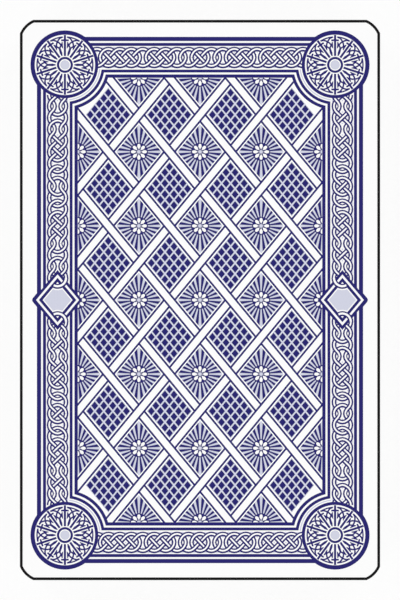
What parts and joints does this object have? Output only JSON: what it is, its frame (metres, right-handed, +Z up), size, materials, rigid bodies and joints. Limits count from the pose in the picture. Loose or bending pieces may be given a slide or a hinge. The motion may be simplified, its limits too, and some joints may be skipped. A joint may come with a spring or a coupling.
{
  "type": "deck of playing cards",
  "caption": "Bridge-size deck of playing cards squared up face down, every card a separate thin sheet that slides sideways across the pile to be dealt, drawn or spread.",
  "frame": {"origin": "centre of the deck's underside, on the surface it rests on", "axes": "+X across the cards' short side, +Y along their long side, +Z up through the deck; the cards' backs face +Z"},
  "size_m": [0.0574, 0.0892, 0.0162],
  "materials": {
    "card_stock": "white coated card with a fine linen emboss, printed navy on the back, varnished"
  },
  "bodies": {
    "joker_black": {"joker_black": "card_stock"},
    "joker_red": {"joker_red": "card_stock"},
    "ace_of_spades": {"ace_of_spades": "card_stock"},
    "two_of_spades": {"two_of_spades": "card_stock"},
    "three_of_spades": {"three_of_spades": "card_stock"},
    "four_of_spades": {"four_of_spades": "card_stock"},
    "five_of_spades": {"five_of_spades": "card_stock"},
    "six_of_spades": {"six_of_spades": "card_stock"},
    "seven_of_spades": {"seven_of_spades": "card_stock"},
    "eight_of_spades": {"eight_of_spades": "card_stock"},
    "nine_of_spades": {"nine_of_spades": "card_stock"},
    "ten_of_spades": {"ten_of_spades": "card_stock"},
    "jack_of_spades": {"jack_of_spades": "card_stock"},
    "queen_of_spades": {"queen_of_spades": "card_stock"},
    "king_of_spades": {"king_of_spades": "card_stock"},
    "ace_of_diamonds": {"ace_of_diamonds": "card_stock"},
    "two_of_diamonds": {"two_of_diamonds": "card_stock"},
    "three_of_diamonds": {"three_of_diamonds": "card_stock"},
    "four_of_diamonds": {"four_of_diamonds": "card_stock"},
    "five_of_diamonds": {"five_of_diamonds": "card_stock"},
    "six_of_diamonds": {"six_of_diamonds": "card_stock"},
    "seven_of_diamonds": {"seven_of_diamonds": "card_stock"},
    "eight_of_diamonds": {"eight_of_diamonds": "card_stock"},
    "nine_of_diamonds": {"nine_of_diamonds": "card_stock"},
    "ten_of_diamonds": {"ten_of_diamonds": "card_stock"},
    "jack_of_diamonds": {"jack_of_diamonds": "card_stock"},
    "queen_of_diamonds": {"queen_of_diamonds": "card_stock"},
    "king_of_diamonds": {"king_of_diamonds": "card_stock"},
    "king_of_clubs": {"king_of_clubs": "card_stock"},
    "queen_of_clubs": {"queen_of_clubs": "card_stock"},
    "jack_of_clubs": {"jack_of_clubs": "card_stock"},
    "ten_of_clubs": {"ten_of_clubs": "card_stock"},
    "nine_of_clubs": {"nine_of_clubs": "card_stock"},
    "eight_of_clubs": {"eight_of_clubs": "card_stock"},
    "seven_of_clubs": {"seven_of_clubs": "card_stock"},
    "six_of_clubs": {"six_of_clubs": "card_stock"},
    "five_of_clubs": {"five_of_clubs": "card_stock"},
    "four_of_clubs": {"four_of_clubs": "card_stock"},
    "three_of_clubs": {"three_of_clubs": "card_stock"},
    "two_of_clubs": {"two_of_clubs": "card_stock"},
    "ace_of_clubs": {"ace_of_clubs": "card_stock"},
    "king_of_hearts": {"king_of_hearts": "card_stock"},
    "queen_of_hearts": {"queen_of_hearts": "card_stock"},
    "jack_of_hearts": {"jack_of_hearts": "card_stock"},
    "ten_of_hearts": {"ten_of_hearts": "card_stock"},
    "nine_of_hearts": {"nine_of_hearts": "card_stock"},
    "eight_of_hearts": {"eight_of_hearts": "card_stock"},
    "seven_of_hearts": {"seven_of_hearts": "card_stock"},
    "six_of_hearts": {"six_of_hearts": "card_stock"},
    "five_of_hearts": {"five_of_hearts": "card_stock"},
    "four_of_hearts": {"four_of_hearts": "card_stock"},
    "three_of_hearts": {"three_of_hearts": "card_stock"},
    "two_of_hearts": {"two_of_hearts": "card_stock"},
    "ace_of_hearts": {"ace_of_hearts": "card_stock"}
  },
  "joints": [
    {"name": "deal_01", "type": "slide", "parent": "joker_black", "child": "ace_of_hearts", "axis": [1, 0, 0], "range_m": [-0.028, 0.0635]},
    {"name": "deal_02", "type": "slide", "parent": "joker_black", "child": "two_of_hearts", "axis": [1, 0, 0], "range_m": [-0.028, 0.0635]},
    {"name": "deal_03", "type": "slide", "parent": "joker_black", "child": "three_of_hearts", "axis": [1, 0, 0], "range_m": [-0.028, 0.0635]},
    {"name": "deal_04", "type": "slide", "parent": "joker_black", "child": "four_of_hearts", "axis": [1, 0, 0], "range_m": [-0.028, 0.0635]},
    {"name": "deal_05", "type": "slide", "parent": "joker_black", "child": "five_of_hearts", "axis": [1, 0, 0], "range_m": [-0.028, 0.0635]},
    {"name": "deal_06", "type": "slide", "parent": "joker_black", "child": "six_of_hearts", "axis": [1, 0, 0], "range_m": [-0.028, 0.0635]},
    {"name": "deal_07", "type": "slide", "parent": "joker_black", "child": "seven_of_hearts", "axis": [1, 0, 0], "range_m": [-0.028, 0.0635]},
    {"name": "deal_08", "type": "slide", "parent": "joker_black", "child": "eight_of_hearts", "axis": [1, 0, 0], "range_m": [-0.028, 0.0635]},
    {"name": "deal_09", "type": "slide", "parent": "joker_black", "child": "nine_of_hearts", "axis": [1, 0, 0], "range_m": [-0.028, 0.0635]},
    {"name": "deal_10", "type": "slide", "parent": "joker_black", "child": "ten_of_hearts", "axis": [1, 0, 0], "range_m": [-0.028, 0.0635]},
    {"name": "deal_11", "type": "slide", "parent": "joker_black", "child": "jack_of_hearts", "axis": [1, 0, 0], "range_m": [-0.028, 0.0635]},
    {"name": "deal_12", "type": "slide", "parent": "joker_black", "child": "queen_of_hearts", "axis": [1, 0, 0], "range_m": [-0.028, 0.0635]},
    {"name": "deal_13", "type": "slide", "parent": "joker_black", "child": "king_of_hearts", "axis": [1, 0, 0], "range_m": [-0.028, 0.0635]},
    {"name": "deal_14", "type": "slide", "parent": "joker_black", "child": "ace_of_clubs", "axis": [1, 0, 0], "range_m": [-0.028, 0.0635]},
    {"name": "deal_15", "type": "slide", "parent": "joker_black", "child": "two_of_clubs", "axis": [1, 0, 0], "range_m": [-0.028, 0.0635]},
    {"name": "deal_16", "type": "slide", "parent": "joker_black", "child": "three_of_clubs", "axis": [1, 0, 0], "range_m": [-0.028, 0.0635]},
    {"name": "deal_17", "type": "slide", "parent": "joker_black", "child": "four_of_clubs", "axis": [1, 0, 0], "range_m": [-0.028, 0.0635]},
    {"name": "deal_18", "type": "slide", "parent": "joker_black", "child": "five_of_clubs", "axis": [1, 0, 0], "range_m": [-0.028, 0.0635]},
    {"name": "deal_19", "type": "slide", "parent": "joker_black", "child": "six_of_clubs", "axis": [1, 0, 0], "range_m": [-0.028, 0.0635]},
    {"name": "deal_20", "type": "slide", "parent": "joker_black", "child": "seven_of_clubs", "axis": [1, 0, 0], "range_m": [-0.028, 0.0635]},
    {"name": "deal_21", "type": "slide", "parent": "joker_black", "child": "eight_of_clubs", "axis": [1, 0, 0], "range_m": [-0.028, 0.0635]},
    {"name": "deal_22", "type": "slide", "parent": "joker_black", "child": "nine_of_clubs", "axis": [1, 0, 0], "range_m": [-0.028, 0.0635]},
    {"name": "deal_23", "type": "slide", "parent": "joker_black", "child": "ten_of_clubs", "axis": [1, 0, 0], "range_m": [-0.028, 0.0635]},
    {"name": "deal_24", "type": "slide", "parent": "joker_black", "child": "jack_of_clubs", "axis": [1, 0, 0], "range_m": [-0.028, 0.0635]},
    {"name": "deal_25", "type": "slide", "parent": "joker_black", "child": "queen_of_clubs", "axis": [1, 0, 0], "range_m": [-0.028, 0.0635]},
    {"name": "deal_26", "type": "slide", "parent": "joker_black", "child": "king_of_clubs", "axis": [1, 0, 0], "range_m": [-0.028, 0.0635]},
    {"name": "deal_27", "type": "slide", "parent": "joker_black", "child": "king_of_diamonds", "axis": [1, 0, 0], "range_m": [-0.028, 0.0635]},
    {"name": "deal_28", "type": "slide", "parent": "joker_black", "child": "queen_of_diamonds", "axis": [1, 0, 0], "range_m": [-0.028, 0.0635]},
    {"name": "deal_29", "type": "slide", "parent": "joker_black", "child": "jack_of_diamonds", "axis": [1, 0, 0], "range_m": [-0.028, 0.0635]},
    {"name": "deal_30", "type": "slide", "parent": "joker_black", "child": "ten_of_diamonds", "axis": [1, 0, 0], "range_m": [-0.028, 0.0635]},
    {"name": "deal_31", "type": "slide", "parent": "joker_black", "child": "nine_of_diamonds", "axis": [1, 0, 0], "range_m": [-0.028, 0.0635]},
    {"name": "deal_32", "type": "slide", "parent": "joker_black", "child": "eight_of_diamonds", "axis": [1, 0, 0], "range_m": [-0.028, 0.0635]},
    {"name": "deal_33", "type": "slide", "parent": "joker_black", "child": "seven_of_diamonds", "axis": [1, 0, 0], "range_m": [-0.028, 0.0635]},
    {"name": "deal_34", "type": "slide", "parent": "joker_black", "child": "six_of_diamonds", "axis": [1, 0, 0], "range_m": [-0.028, 0.0635]},
    {"name": "deal_35", "type": "slide", "parent": "joker_black", "child": "five_of_diamonds", "axis": [1, 0, 0], "range_m": [-0.028, 0.0635]},
    {"name": "deal_36", "type": "slide", "parent": "joker_black", "child": "four_of_diamonds", "axis": [1, 0, 0], "range_m": [-0.028, 0.0635]},
    {"name": "deal_37", "type": "slide", "parent": "joker_black", "child": "three_of_diamonds", "axis": [1, 0, 0], "range_m": [-0.028, 0.0635]},
    {"name": "deal_38", "type": "slide", "parent": "joker_black", "child": "two_of_diamonds", "axis": [1, 0, 0], "range_m": [-0.028, 0.0635]},
    {"name": "deal_39", "type": "slide", "parent": "joker_black", "child": "ace_of_diamonds", "axis": [1, 0, 0], "range_m": [-0.028, 0.0635]},
    {"name": "deal_40", "type": "slide", "parent": "joker_black", "child": "king_of_spades", "axis": [1, 0, 0], "range_m": [-0.028, 0.0635]},
    {"name": "deal_41", "type": "slide", "parent": "joker_black", "child": "queen_of_spades", "axis": [1, 0, 0], "range_m": [-0.028, 0.0635]},
    {"name": "deal_42", "type": "slide", "parent": "joker_black", "child": "jack_of_spades", "axis": [1, 0, 0], "range_m": [-0.028, 0.0635]},
    {"name": "deal_43", "type": "slide", "parent": "joker_black", "child": "ten_of_spades", "axis": [1, 0, 0], "range_m": [-0.028, 0.0635]},
    {"name": "deal_44", "type": "slide", "parent": "joker_black", "child": "nine_of_spades", "axis": [1, 0, 0], "range_m": [-0.028, 0.0635]},
    {"name": "deal_45", "type": "slide", "parent": "joker_black", "child": "eight_of_spades", "axis": [1, 0, 0], "range_m": [-0.028, 0.0635]},
    {"name": "deal_46", "type": "slide", "parent": "joker_black", "child": "seven_of_spades", "axis": [1, 0, 0], "range_m": [-0.028, 0.0635]},
    {"name": "deal_47", "type": "slide", "parent": "joker_black", "child": "six_of_spades", "axis": [1, 0, 0], "range_m": [-0.028, 0.0635]},
    {"name": "deal_48", "type": "slide", "parent": "joker_black", "child": "five_of_spades", "axis": [1, 0, 0], "range_m": [-0.028, 0.0635]},
    {"name": "deal_49", "type": "slide", "parent": "joker_black", "child": "four_of_spades", "axis": [1, 0, 0], "range_m": [-0.028, 0.0635]},
    {"name": "deal_50", "type": "slide", "parent": "joker_black", "child": "three_of_spades", "axis": [1, 0, 0], "range_m": [-0.028, 0.0635]},
    {"name": "deal_51", "type": "slide", "parent": "joker_black", "child": "two_of_spades", "axis": [1, 0, 0], "range_m": [-0.028, 0.0635]},
    {"name": "deal_52", "type": "slide", "parent": "joker_black", "child": "ace_of_spades", "axis": [1, 0, 0], "range_m": [-0.028, 0.0635]},
    {"name": "deal_53", "type": "slide", "parent": "joker_black", "child": "joker_red", "axis": [1, 0, 0], "range_m": [-0.028, 0.0635]}
  ]
}
